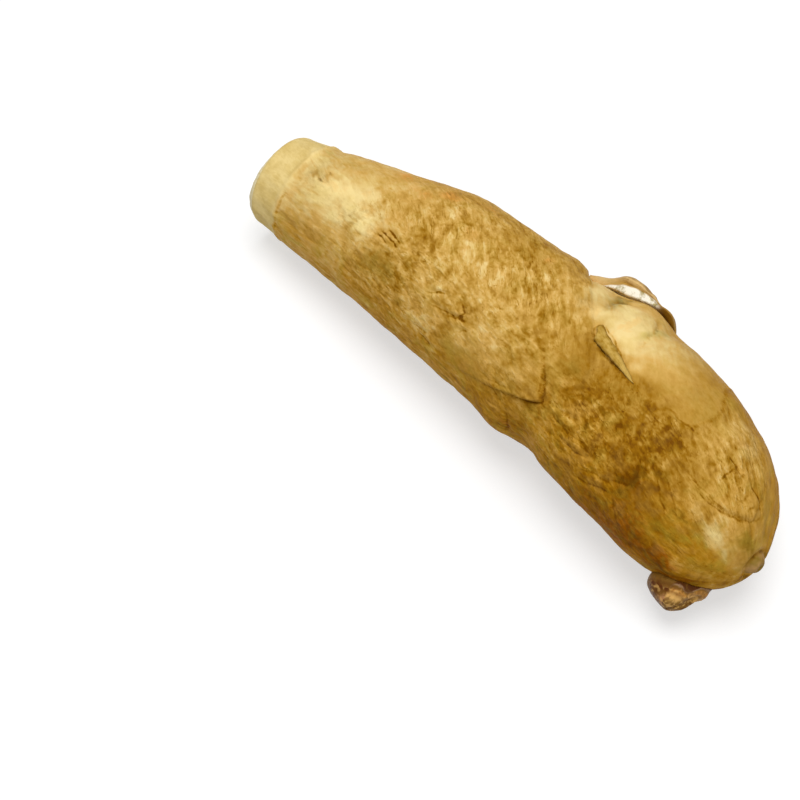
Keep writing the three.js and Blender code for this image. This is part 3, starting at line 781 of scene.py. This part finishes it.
def make_bud():
    """A squat bud wrapped in small overlapping scales. Its near side faces the stem's tip."""
    rows, radius = bud_rows()
    turns = np.linspace(0, 2 * math.pi, BUD_TURNS, endpoint=False)
    reach, turn = np.meshgrid(rows, turns, indexing="ij")
    round_share = np.repeat(radius[:, None], BUD_TURNS, axis=1)
    near, sideways = np.cos(turn), np.sin(turn)
    wander = layered_noise(np.stack([near * 2.2, sideways * 2.2, reach * 1.6], -1), 101, 2)
    ribs = noise(np.stack([near * 6, sideways * 6, reach * 1.6], -1), 103)
    out, fold = bud_heights(reach, near, sideways, wander)
    out += 0.25 * ribs
    points = bud_points(reach, turn, round_share, out * smoothstep(round_share, 0.1, 0.6))
    tip = bud_points(np.ones(1), np.zeros(1), 0, 0)[0]
    mesh = grid_mesh("bud", points, points[0].mean(0), tip)
    stage = reach + 0.36 * near + 0.3 * smoothstep(near, 0.45, 0.9) + 0.05 * wander
    # dark: painted shade in the folds at the scales' edges
    store_grid(mesh, {"stage": stage, "dark": fold, "ridge": ribs, "known": np.ones(reach.shape),
                      "far_side": smoothstep(-near, -0.2, 0.3)})
    return new_object("bud", mesh)


def join_bodies(body, other):
    """Joins a second closed body to the first, and mends the stored values along the seam."""
    joining = body.modifiers.new("join", "BOOLEAN")
    joining.operation = "UNION"
    joining.solver = "MANIFOLD"
    joining.material_mode = "TRANSFER"
    joining.object = other
    graph = bpy.context.evaluated_depsgraph_get()
    joined = bpy.data.meshes.new_from_object(body.evaluated_get(graph))
    body.modifiers.remove(joining)
    body.data = joined
    joined.name = body.name
    bpy.data.objects.remove(other)
    mend_values(joined)
    joined.shade_smooth()


def mend_values(mesh):
    """Gives each vertex that the join made the mean of its neighbours' stored values."""
    ends = np.empty(len(mesh.edges) * 2, np.int32)
    mesh.edges.foreach_get("vertices", ends)
    first, second = ends.reshape(-1, 2).T
    known = np.empty(len(mesh.vertices), np.float32)
    mesh.attributes["known"].data.foreach_get("value", known)
    unknown = known < 0.5
    for layer in mesh.attributes:
        if layer.domain != "POINT" or layer.data_type not in STORED or layer.name == "position":
            continue
        key, width = STORED[layer.data_type]
        values = np.empty(len(mesh.vertices) * width, np.float32)
        layer.data.foreach_get(key, values)
        values = values.reshape(-1, width)
        total = np.zeros_like(values)
        count = np.zeros(len(values))
        for here, there in ((first, second), (second, first)):
            counted = unknown[here] & ~unknown[there]
            np.add.at(total, here[counted], values[there[counted]])
            np.add.at(count, here[counted], 1)
        mended = unknown & (count > 0)
        values[mended] = total[mended] / count[mended][:, None]
        layer.data.foreach_set(key, values.ravel())


# ---- The dry scale leaves ----

def side_scale_section(share, gape):
    """Turn round the stem and standing share, for shares of the way round the scale's section."""
    open_turn, open_out = zip(*SIDE_SCALE_OPEN)
    shut_turn, shut_out = zip(*SIDE_SCALE_SHUT)
    turn = between(smooth(shut_turn, share), smooth(open_turn, share), gape)
    return turn, between(smooth(shut_out, share), smooth(open_out, share), gape)


def side_scale_heights(length, share, standing, wobble):
    """How far each point of the side scale is from the skin, in mm."""
    part = SIDE_SCALE
    stand = np.maximum(smooth(part["stand"], length), 0)
    out = part["clearance"] + stand * standing + part["thickness"] * smoothstep(share, 0.45, 0.6)
    toward_foot = 1 - smoothstep(standing, 0, 0.3)
    out -= part["foot_sunk"] * toward_foot * (1 - smoothstep(length, 0.1, 0.35))
    out -= (0.4 + 0.6 * smoothstep(share, 0.5, 0.6)) * (1 - smoothstep(length, 0, 0.12))
    out -= 0.5 * smoothstep(length, 0.94, 1)
    out -= part["back_sunk"] * smoothstep(share, 0.6, 0.76)
    out -= part["start_sunk"] * smoothstep(share, 0.55, 0.68) * (1 - smoothstep(length, 0, 0.3))
    waves = 0.22 * noise(wobble * np.array([0.7, 2.2, 1]), 113)
    return out + waves * smoothstep(standing, 0.1, 0.5) * smoothstep(length, 1, 0.9)


def make_leaf(name, along, around, out, values):
    """A scale leaf from rows of places on the stem and how far out they are, in mm."""
    points = stem_points(along, around, 1, broad_heights(along, around) + out)
    mesh = grid_mesh(name, points, points[0].mean(0), points[-1].mean(0))
    store_grid(mesh, values)
    return new_object(name, mesh)


def make_side_scale():
    """The scale leaf on the far side: an open lip that shows its pale inside, then a shut ridge."""
    part = SIDE_SCALE
    rows = np.linspace(0, 1, SIDE_SCALE_ROWS)
    ring = np.linspace(0, 1, SIDE_SCALE_TURNS, endpoint=False)
    length, share = np.meshgrid(rows, ring, indexing="ij")
    gape = np.clip(smooth(part["gape"], length), 0, 1)
    turn, standing = side_scale_section(share, gape)
    wobble = np.stack([length * 9, share * 4, np.zeros(length.shape)], -1)
    free = smoothstep(standing, 0.1, 0.5)
    turn += part["start_lean"] * standing * (1 - smoothstep(length, 0.14, 0.4))
    taper = np.sin(np.pi * np.minimum(0.12 + length * 0.88, 1)) ** 0.5
    around = between(part["root"], turn, 0.35 + 0.65 * taper)
    around += 1.1 * noise(wobble * 0.8, 112) * free
    along = between(part["start"], part["end"], length) + 0.5 * noise(wobble, 111) * free
    out = side_scale_heights(length, share, standing, wobble)
    white_end = smooth(part["white"], length) + 0.02 * noise(wobble, 114)
    inside = (1 - smoothstep(share, white_end - 0.02, white_end + 0.02)) * smoothstep(gape, 0.1, 0.5)
    rim = bell((share - 0.42) / 0.13) * (1 - smoothstep(length, 0.7, 0.78))
    # low: the lower part of the section beside the skin, where the material paints shade at the scale's
    # end
    low = (1 - smoothstep(share, 0.22, 0.4)) * (1 - inside)
    values = {"length": length, "across": share, "inside": inside, "rim": rim, "low": low}
    return make_leaf("side_scale", along, around, out, values)


def make_torn_scale():
    """The narrow torn strip: its edges curl up, and its wide end curls over."""
    part = TORN_SCALE
    rows = np.linspace(0, 1, TORN_SCALE_ROWS)
    across = np.linspace(0, 1, TORN_SCALE_STEPS)
    length, width = np.meshgrid(rows, np.concatenate([across, across[::-1]]), indexing="ij")
    upper = np.tile(np.repeat([0.0, 1.0], TORN_SCALE_STEPS), (len(rows), 1))
    offset = 2 * width - 1
    ragged = noise(np.stack([length * 9, width * 0.7, np.zeros(length.shape)], -1), 121)
    strip_width = between(part["width"], part["end_width"], length)
    blunt = smoothstep(length, -0.02, 0.05) * smoothstep(length, 1.02, 0.9)
    half_turn = strip_width / 2 / MM_PER_DEGREE * (1 + 0.15 * ragged) * blunt
    middle = between(part["start_around"], part["end_around"], length ** 0.8)
    along = between(part["start"], part["end"], length) - 0.7 * offset * (1 - length)
    around = middle + offset * half_turn
    curl = part["curl"] * offset ** 2 * (1 - 0.5 * length) + part["end_curl"] * bell(length / 0.08)
    thinning = np.sqrt(np.clip(1 - offset ** 6, 0, 1)) + 0.05
    out = part["clearance"] + curl + 0.08 * ragged + upper * part["thickness"] * thinning
    out += 0.08 * noise(np.stack([length * 5, offset * 2.5, upper], -1), 122)
    values = {"length": length, "across": width, "edge": np.abs(offset) ** 3}
    return make_leaf("torn_scale", along, around, out, values)


# ---- Materials ----

class Shader:
    """One node material, built with short calls that each return a socket."""

    def __init__(self, name):
        self.material = bpy.data.materials.new(name)
        self.material.use_nodes = True
        self.tree = self.material.node_tree
        self.surface = self.tree.nodes["Principled BSDF"]
        self.place = self.node("ShaderNodeTexCoord").outputs["Object"]

    def node(self, kind, inputs=(), **settings):
        """A new node, with its settings, and its inputs by name or number."""
        node = self.tree.nodes.new(kind)
        for name, value in settings.items():
            setattr(node, name, value)
        for key, value in dict(inputs).items():
            self.give(node.inputs[key], value)
        return node

    def give(self, socket, value):
        if isinstance(value, bpy.types.NodeSocket):
            self.tree.links.new(value, socket)
        else:
            socket.default_value = value

    def value(self, name):
        """The number stored for each vertex under a name."""
        return self.node("ShaderNodeAttribute", attribute_name=name).outputs["Fac"]

    def stored_place(self, name, scale):
        source = self.node("ShaderNodeAttribute", attribute_name=name).outputs["Vector"]
        return self.node("ShaderNodeMapping", {"Vector": source, "Scale": scale}).outputs["Vector"]

    def noise(self, place, scale, detail=2.0, roughness=0.5):
        inputs = {"Vector": place, "Scale": scale, "Detail": detail, "Roughness": roughness}
        return self.node("ShaderNodeTexNoise", inputs).outputs["Fac"]

    def pushed(self, place, scale, amount):
        """The place pushed about by noise, so that patterns read from it wander."""
        inputs = {"Vector": place, "Scale": scale, "Detail": 1.0}
        push = self.node("ShaderNodeTexNoise", inputs).outputs["Color"]
        inputs = {0: push, 1: (amount, amount, amount), 2: place}
        return self.node("ShaderNodeVectorMath", inputs, operation="MULTIPLY_ADD").outputs[0]

    def math(self, operation, a, b=0.0, c=0.0):
        return self.node("ShaderNodeMath", {0: a, 1: b, 2: c}, operation=operation).outputs[0]

    def add(self, *terms):
        """The sum of terms, each a socket or a pair of socket and factor."""
        total = 0.0
        for term in terms:
            value, factor = term if isinstance(term, tuple) else (term, 1.0)
            total = self.math("MULTIPLY_ADD", value, factor, total)
        return total

    def times(self, a, b):
        return self.math("MULTIPLY", a, b)

    def remap(self, value, low, high, to_low=0.0, to_high=1.0):
        """A soft step from to_low, where the value is low, to to_high, where it is high."""
        inputs = {"Value": value, "From Min": low, "From Max": high, "To Min": to_low, "To Max": to_high}
        return self.node("ShaderNodeMapRange", inputs, interpolation_type="SMOOTHSTEP").outputs["Result"]

    def strands(self, value, width):
        """Thin winding strands where a noise passes its middle value."""
        return self.remap(self.math("ABSOLUTE", self.math("SUBTRACT", value, 0.5)), 0.0, width, 1.0, 0.0)

    def mix(self, share, a, b, **settings):
        """A mix of two colours, which are the node's inputs 6 and 7 and its output 2."""
        inputs = {0: share, 6: a, 7: b}
        return self.node("ShaderNodeMix", inputs, data_type="RGBA", **settings).outputs[2]

    def blend(self, share, a, b):
        """A mix of two numbers, which are the node's inputs 2 and 3."""
        return self.node("ShaderNodeMix", {0: share, 2: a, 3: b}, data_type="FLOAT").outputs[0]

    def ramp(self, value, *stops):
        """A colour read from a ramp of stops, each a position and a colour's name."""
        node = self.node("ShaderNodeValToRGB", {"Fac": value})
        elements = node.color_ramp.elements
        while len(elements) < len(stops):
            elements.new(0.5)
        for element, (position, name) in zip(elements, stops):
            element.position = position
            element.color = colour(name)
        return node.outputs["Color"]

    def bump(self, height, strength, distance):
        inputs = {"Height": height, "Strength": strength, "Distance": distance}
        return self.node("ShaderNodeBump", inputs).outputs["Normal"]

    def finish(self, base, roughness, normal, specular):
        self.give(self.surface.inputs["Base Color"], base)
        self.give(self.surface.inputs["Roughness"], roughness)
        self.give(self.surface.inputs["Normal"], normal)
        self.surface.inputs["Specular IOR Level"].default_value = specular
        return self.material


# The skin's colours from its darkest tone to its lightest, where it is cool and where it is warm.
SKIN_TONES = [(0.0, "darkest"), (0.2, "umber"), (0.38, "brown"), (0.55, "tan"), (0.76, "pale"),
              (1.0, "cream")]
WARM_TONES = [(0.0, "warm_darkest"), (0.2, "warm_umber"), (0.38, "warm_brown"), (0.55, "warm_tan"),
              (0.76, "warm_pale"), (1.0, "warm_cream")]
# The zones that tint the skin, with the most of the tint that shows.
ZONE_TINTS = {"olive": 0.6, "rust": 0.85, "orange": 0.75, "green": 0.45, "straw": 0.6}
# Tints that change slowly over the skin: the noise at which one is full, and its share where the
# skin is cool and where it is warm.
HUE_TINTS = {"olive_tan": (0.66, 0.15, 0.4), "orange_tan": (0.34, 0.25, 0.4)}
# The grain's fineness along it and across it, and how much it wanders, on the upper side, where
# it slants, and lower down, where it is finer.
SLANTING_GRAIN = (1.15, 1.25, 1.4)
STRAIGHT_GRAIN = (1.2, 1.5, 1.0)


def grain_noise(s, along, across, detail):
    """Noise drawn out along the skin's grain, and plain noise on the blunt tip."""
    drawn = []
    for name, (fine_along, fine_across, wander) in (("grain_straight", STRAIGHT_GRAIN),
                                                    ("grain_slanting", SLANTING_GRAIN)):
        scale = (fine_along * along, fine_across * across, fine_across * across)
        place = s.pushed(s.stored_place(name, scale), 0.7, wander)
        drawn.append(s.noise(place, 1.0, detail, 0.55))
    plain = s.noise(s.pushed(s.place, 150, 0.003), 500 * (along + across), detail, 0.55)
    return s.blend(s.value("blunt"), s.blend(s.value("slant"), *drawn), plain)


def blotch_noise(s):
    return s.noise(s.pushed(s.place, 150, 0.004), 280, 2, 0.5)


def skin_tone(s, rough, contrast, noises):
    """How light the skin is: the painted tone, with flames, fibres, specks, pits and dark lines, painted
    shade in the creases, and painted light on the wrinkles' ridges with painted shade in their valleys.
    """
    blotches, specks, flames, fibres, strokes = noises
    pattern = s.add((flames, 0.9), (blotches, 0.6), (fibres, 0.35), (specks, 0.55), -1.2)
    from_line = s.add(s.math("ABSOLUTE", s.value("line_side")), (specks, 0.8), -0.4)
    line = s.times(s.value("line_dark"), s.remap(from_line, 0.15, 0.85, 1.0, 0.0))
    # dark joins the painted shade of the creases with the drawn dark lines
    dark = s.math("MAXIMUM", s.value("dark"), line)
    dark = s.times(dark, s.remap(s.add((specks, 0.5), (fibres, 0.5)), 0.35, 0.6, 1.2, 0.6))
    # The wrinkles' ridges are painted lighter and their valleys darker: painted light and shade
    streaks = s.add((strokes, 0.14), (s.value("ridge"), 0.12), -0.08)
    tone = s.add(s.value("tone"), s.times(pattern, contrast), s.times(streaks, rough), (dark, -0.3))
    pits = s.times(s.remap(specks, 0.6, 0.7), rough)
    fissures = s.strands(grain_noise(s, 0.22, 0.6, 1.5), 0.018)
    fissures = s.times(s.times(fissures, rough), s.remap(blotches, 0.42, 0.58))
    return s.add(tone, (pits, -0.14), (fissures, -0.3))


def skin_colour(s, tone, blotches, flames):
    """The colour for a tone, with the tints of the painted zones and of a slow change of hue."""
    warm = s.value("warm")
    base = s.mix(s.times(warm, 0.9), s.ramp(tone, *SKIN_TONES), s.ramp(tone, *WARM_TONES))
    break_up = s.remap(s.add((blotches, 0.5), (flames, 0.5)), 0.4, 0.6, 0.55, 1.3)
    for name, most in ZONE_TINTS.items():
        share = s.remap(s.times(s.value(name), break_up), 0.1, 1.1, 0.0, most)
        base = s.mix(share, base, tinted(s, tone, name))
    hue = s.noise(s.pushed(s.place, 120, 0.006), 210, 2.5, 0.6)
    for name, (full, cool_share, warm_share) in HUE_TINTS.items():
        share = s.times(s.remap(hue, 0.5, full), s.blend(warm, cool_share, warm_share))
        base = s.mix(share, base, tinted(s, tone, name))
    return base


def skin_material():
    """Mottled tan skin, with peeled flesh at the cut end and the old shoot's scar at the tip."""
    s = Shader("skin")
    rough = s.value("rough")
    contrast = s.remap(rough, 0.0, 1.0, 0.25, 1.0)
    blotches = blotch_noise(s)
    specks = s.noise(s.pushed(s.place, 400, 0.001), 760, 1.5, 0.55)
    flames = grain_noise(s, 0.25, 0.42, 1.5)
    fibres = grain_noise(s, 0.7, 1.0, 1)
    strokes = s.remap(grain_noise(s, 0.42, 0.8, 0.5), 0.57, 0.66)

    tone = skin_tone(s, rough, contrast, (blotches, specks, flames, fibres, strokes))
    base = skin_colour(s, tone, blotches, flames)
    base = s.mix(s.value("flesh"), base, flesh_colour(s, blotches, fibres))
    scar = s.ramp(blotches, (0.4, "scar"), (0.62, "scar_middle"))
    base = s.mix(s.times(s.value("scar"), 0.8), base, scar)

    height = s.add((s.times(fibres, contrast), 0.45), (s.times(flames, contrast), 0.4), (specks, 0.2),
                   (s.times(strokes, rough), 0.2))
    roughness = s.remap(s.add((specks, 0.6), (rough, 0.3)), 0.2, 0.9, 0.45, 0.75)
    return s.finish(base, roughness, s.bump(height, 0.7, 0.0006), 0.02)


def tinted(s, tone, name):
    """A tint made darker and lighter with the tone of the skin."""
    shade = s.remap(tone, 0.0, 1.0, 0.3, 1.5)
    level = s.node("ShaderNodeCombineColor", {"Red": shade, "Green": shade, "Blue": shade}).outputs[0]
    return s.mix(1.0, colour(name), level, blend_type="MULTIPLY")


def flesh_colour(s, blotches, fibres):
    """Peeled flesh, and on the cut face a paler core with fine dots and a faint ring."""
    flesh = s.ramp(s.add((blotches, 0.7), (fibres, 0.3)), (0.38, "flesh"), (0.62, "flesh_light"))
    dots = s.remap(s.noise(s.place, 1100, 1, 0.5), 0.55, 0.68)
    core = s.mix(s.times(dots, 0.5), colour("flesh_core"), colour("flesh"))
    face = s.add(s.value("face"), (blotches, 0.12), -0.06)
    ring = s.remap(s.math("ABSOLUTE", s.math("SUBTRACT", face, 0.76)), 0.0, 0.05, 0.4, 0.0)
    core = s.mix(ring, core, colour("tan"))
    return s.mix(s.remap(s.value("face"), 0.0, 0.02), flesh, core)


def bud_material():
    """Small glossy scales: brown at the neck, and further out on the near side a dark purple band
    painted as the shade of the crease at the stem, a painted highlight, then orange and cream; and
    olive, red-brown and pink on the far side."""
    s = Shader("bud_skin")
    patches = s.noise(s.pushed(s.place, 250, 0.004), 480, 2, 0.6)
    fine = s.noise(s.pushed(s.place, 500, 0.001), 900, 1.5, 0.5)
    stage = s.add(s.value("stage"), (patches, 0.3), -0.15)
    # Near side: the dark purple band is painted shade in the crease at the stem, and the light band
    # after it a painted highlight.
    near = s.ramp(stage, (0.2, "bud_neck"), (0.31, "plum_shade"), (0.43, "plum_shade"), (0.49, "plum_highlight"),
                  (0.54, "bud_olive"), (0.64, "bud_orange"), (0.8, "bud_cream"), (1.0, "bud_olive"))
    far = s.ramp(stage, (0.2, "bud_neck"), (0.38, "bud_olive"), (0.48, "bud_neck"), (0.6, "bud_red"),
                 (0.74, "bud_neck"), (0.88, "bud_pink"), (1.0, "bud_red"))
    base = s.mix(s.remap(s.add(s.value("far_side"), (patches, 0.8)), 0.65, 1.15), near, far)
    beyond = s.remap(stage, 0.5, 0.65)
    base = s.mix(s.times(s.remap(fine, 0.52, 0.62, 0.0, 0.7), beyond), base, colour("bud_cream"))
    base = s.mix(s.times(s.remap(fine, 0.48, 0.36, 0.0, 0.5), beyond), base, colour("bud_red"))
    base = s.mix(s.remap(patches, 0.46, 0.36, 0.0, 0.5), base, colour("bud_neck"))
    # The folds at the scales' edges get the dark purple as painted shade.
    base = s.mix(s.times(s.value("dark"), 0.45), base, colour("plum_shade"))
    height = s.add((s.value("ridge"), 0.4), (fine, 0.35), (patches, 0.6))
    return s.finish(base, s.remap(patches, 0.35, 0.65, 0.3, 0.5), s.bump(height, 0.7, 0.0005), 0.08)


def vein_noise(s):
    """Veins that run along a leaf."""
    place = s.node("ShaderNodeCombineXYZ", {"X": s.value("length"), "Y": s.value("across")}).outputs[0]
    place = s.node("ShaderNodeMapping", {"Vector": place, "Scale": (2.5, 30, 1)}).outputs["Vector"]
    return s.noise(place, 1.0, 3, 0.6)


def side_scale_material():
    """Creamy where it leaves the skin, glossy white inside and brown at its end, with painted shade
    there low down beside the skin.

    Its rim is pinkish, and its back is mottled like the skin."""
    s = Shader("side_scale_skin")
    veins = vein_noise(s)
    spots = s.noise(s.place, 620, 3, 0.6)
    length = s.value("length")
    mottle = s.add((veins, 0.6), (spots, 0.4))
    patches = s.add((blotch_noise(s), 0.6), (spots, 0.4))
    outside = s.ramp(mottle, (0.36, "umber"), (0.5, "brown"), (0.66, "scale_out"))
    back = s.ramp(patches, (0.36, "warm_umber"), (0.48, "umber"), (0.62, "brown"))
    rim = s.ramp(mottle, (0.38, "scale_vein"), (0.5, "scale_rim"), (0.6, "scale_base"))
    spotted = s.add(spots, (s.remap(length, 0.45, 0.6), -0.12), 0.06)
    inside = s.ramp(spotted, (0.34, "scale_spot"), (0.54, "scale_in"))
    base = s.mix(s.value("rim"), outside, rim)
    begins = s.remap(s.add(length, (spots, 0.3)), 0.25, 0.5, 0.9, 0.0)
    base = s.mix(begins, base, colour("scale_base"))
    base = s.mix(s.remap(s.add(s.value("across"), (spots, 0.1)), 0.46, 0.55), base, back)
    ends = s.remap(s.add(length, (spots, 0.2)), 0.76, 0.88)
    # The end is brown, and darker low down beside the skin as painted shade.
    base = s.mix(s.times(ends, s.add((s.value("low"), 0.8), 0.15)), base, colour("scale_tip"))
    base = s.mix(s.value("inside"), base, inside)
    roughness = s.blend(s.value("inside"), 0.55, 0.25)
    return s.finish(base, roughness, s.bump(mottle, 0.5, 0.0005), 0.1)


def torn_scale_material():
    """A dry strip of skin, light along its middle and dark at its torn edges."""
    s = Shader("torn_scale_skin")
    veins = vein_noise(s)
    specks = s.noise(s.place, 700, 2, 0.5)
    mottle = s.add((veins, 0.5), (specks, 0.5), (s.value("length"), 0.12), -0.05)
    base = s.ramp(mottle, (0.34, "umber"), (0.43, "strip"), (0.58, "strip_light"))
    base = s.mix(s.times(s.value("edge"), 0.8), base, colour("strip_edge"))
    return s.finish(base, 0.65, s.bump(s.add(veins, (specks, 0.3)), 0.4, 0.0004), 0.03)


# ---- The studio ----

# Degrees, the azimuth from -Y towards +X, and mm.
CAMERA = {"azimuth": 48, "elevation": 57, "distance": 450, "lens": 85, "aim": (-6, -35.4, 19.2)}
LAMPS = {  # place and size in metres, and power in watts
    "overhead": ((-0.02, 0.05, 0.9), 0.7, 6.2),
    "front_fill": ((0.5, -0.7, 0.6), 0.6, 1.6),
}
SKY_LIGHT = 0.32  # on the object, while the camera sees a white sky of strength 1
FLOOR_SIZE = 6  # metres
FLOOR_GREY = 0.5
FLOOR_LIFT = 0.55  # the light added to the floor where it is seen directly


def look_at(thing, target):
    thing.rotation_euler = (Vector(target) - thing.location).to_track_quat("-Z", "Y").to_euler()


def make_camera():
    azimuth, elevation = math.radians(CAMERA["azimuth"]), math.radians(CAMERA["elevation"])
    level = math.cos(elevation)
    back = Vector((math.sin(azimuth) * level, -math.cos(azimuth) * level, math.sin(elevation)))
    aim = Vector(CAMERA["aim"]) * MM
    camera = new_object("camera", bpy.data.cameras.new("camera"))
    camera.data.lens = CAMERA["lens"]
    camera.data.clip_start = 0.01
    camera.location = aim + back * CAMERA["distance"] * MM
    look_at(camera, aim)
    bpy.context.scene.camera = camera


def make_lamp(name, place, size, power):
    lamp = new_object(name, bpy.data.lights.new(name, "AREA"))
    lamp.data.shape = "DISK"
    lamp.data.size = size
    lamp.data.energy = power
    lamp.location = place
    look_at(lamp, (0, 0, 0))


def seen_directly(nodes, links):
    """1 for what the camera sees straight, in a reflection or through something, and else 0."""
    rays = nodes.new("ShaderNodeLightPath")
    seen = rays.outputs["Is Camera Ray"]
    for kind in ("Is Glossy Ray", "Is Transmission Ray"):
        either = nodes.new("ShaderNodeMath")
        either.operation = "MAXIMUM"
        links.new(seen, either.inputs[0])
        links.new(rays.outputs[kind], either.inputs[1])
        seen = either.outputs[0]
    return seen


def make_world():
    """White to the camera and in reflections, and a plain soft grey light on the object."""
    world = bpy.data.worlds.new("studio")
    bpy.context.scene.world = world
    world.use_nodes = True
    nodes, links = world.node_tree.nodes, world.node_tree.links
    strength = nodes.new("ShaderNodeMapRange")
    links.new(seen_directly(nodes, links), strength.inputs["Value"])
    strength.inputs["To Min"].default_value = SKY_LIGHT
    strength.inputs["To Max"].default_value = 1.0
    background = nodes["Background"]
    background.inputs["Color"].default_value = (1, 1, 1, 1)
    links.new(strength.outputs["Result"], background.inputs["Strength"])


def make_floor():
    """A pale floor that keeps the shadow: where it is seen directly, it is lifted to white."""
    edge = FLOOR_SIZE / 2
    mesh = bpy.data.meshes.new("floor")
    corners = [(-edge, -edge, 0), (edge, -edge, 0), (edge, edge, 0), (-edge, edge, 0)]
    mesh.from_pydata(corners, [], [(0, 1, 2, 3)])
    floor = new_object("floor", mesh)
    material = bpy.data.materials.new("floor")
    material.use_nodes = True
    nodes, links = material.node_tree.nodes, material.node_tree.links
    inputs = nodes["Principled BSDF"].inputs
    inputs["Base Color"].default_value = (FLOOR_GREY, FLOOR_GREY, FLOOR_GREY, 1)
    inputs["Roughness"].default_value = 0.9
    inputs["Specular IOR Level"].default_value = 0.0
    inputs["Emission Color"].default_value = (FLOOR_LIFT, FLOOR_LIFT, FLOOR_LIFT, 1)
    links.new(seen_directly(nodes, links), inputs["Emission Strength"])
    mesh.materials.append(material)


def make_studio():
    make_camera()
    make_world()
    make_floor()
    for name, (place, size, power) in LAMPS.items():
        make_lamp(name, place, size, power)
    bpy.context.scene.view_settings.view_transform = "Standard"


# ---- Assembly ----

def make_object():
    skin = make_skin()
    bud = make_bud()
    skin.data.materials.append(skin_material())
    bud.data.materials.append(bud_material())
    join_bodies(skin, bud)
    side = make_side_scale()
    side.data.materials.append(side_scale_material())
    torn = make_torn_scale()
    torn.data.materials.append(torn_scale_material())
    for piece, node, slot in ((skin, "tuber", "skin"), (side, "side_scale", "dry_scale"),
                              (torn, "torn_scale", "dry_scale")):
        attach(piece, "root")
        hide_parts(node)


make_studio()
make_object()
